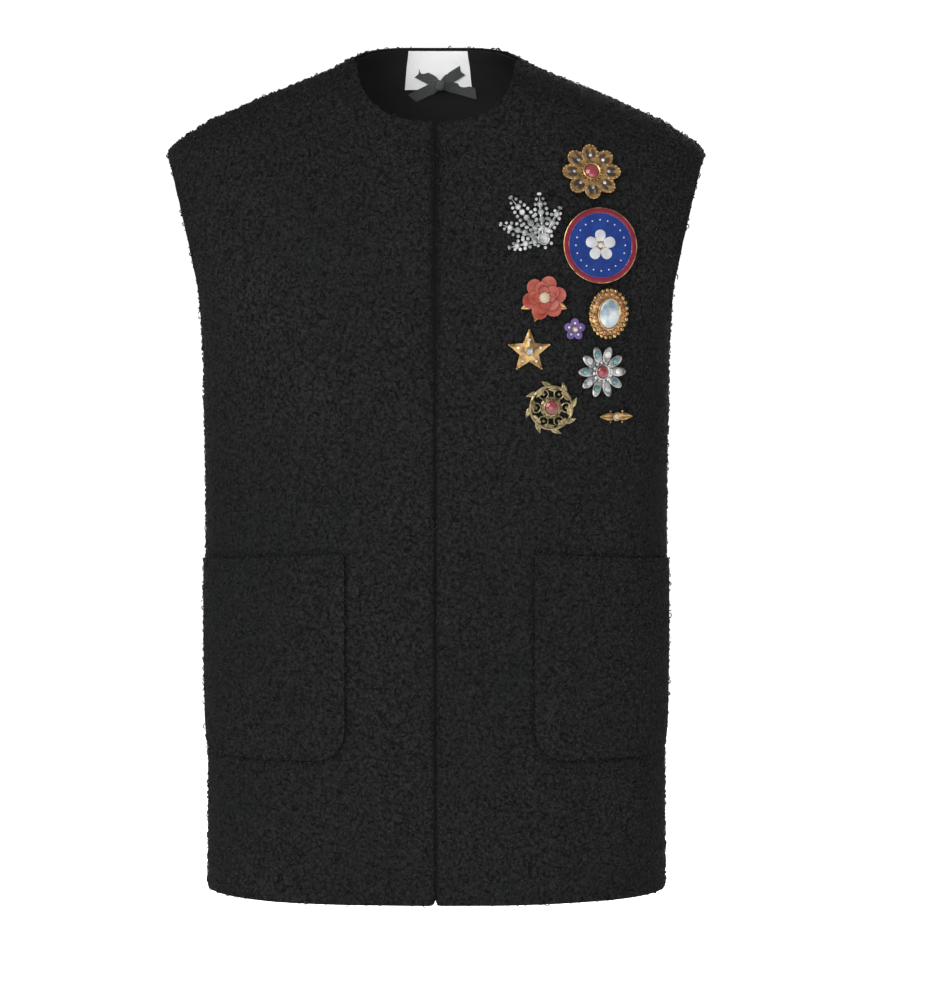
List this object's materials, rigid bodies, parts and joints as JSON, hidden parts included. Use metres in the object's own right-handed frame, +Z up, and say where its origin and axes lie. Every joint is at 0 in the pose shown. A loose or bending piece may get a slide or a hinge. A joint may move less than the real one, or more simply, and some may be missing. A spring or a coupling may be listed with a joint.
{
  "type": "sleeveless long vest",
  "caption": "Long sleeveless collarless vest in dark wool boucle, open down the front, with large patch pockets and a cluster of brooches on the chest.",
  "frame": {"origin": "middle between the two shoulders, where the wearer carries the vest, 40 mm below the top of the back neck", "axes": "+Z up, the front faces -Y, +X towards the wearer's left"},
  "size_m": [0.533, 0.2377, 0.8395],
  "materials": {
    "boucle": "charcoal wool boucle, matt and nubbly",
    "facing": "smooth near black lining cloth",
    "label": "pale woven label, blank",
    "ribbon": "dark grey flat ribbon",
    "gold": "polished gold tone metal",
    "old_gold": "aged olive gold metal",
    "silver": "polished silver tone metal with clear stones",
    "enamel_blue": "blue enamel with a red rim",
    "coral": "coral coloured resin",
    "amber": "amber coloured stone in a gold setting",
    "violet": "violet enamel"
  },
  "bodies": {
    "root": {"front_right": "boucle", "front_left": "boucle", "back": "boucle", "pocket_right": "boucle", "pocket_left": "boucle", "back_neck_facing": "facing", "neck_label": "label", "neck_ribbon": "ribbon", "brooch_gold_flower": "gold", "brooch_silver_spray": "silver", "brooch_blue_disc": "enamel_blue", "brooch_coral_rose": "coral", "brooch_amber_oval": "amber", "brooch_violet_flower": "violet", "brooch_gold_star": "gold", "brooch_jewel_daisy": "silver", "brooch_leaf_wreath": "old_gold", "brooch_leaf_bar": "gold"}
  },
  "joints": []
}
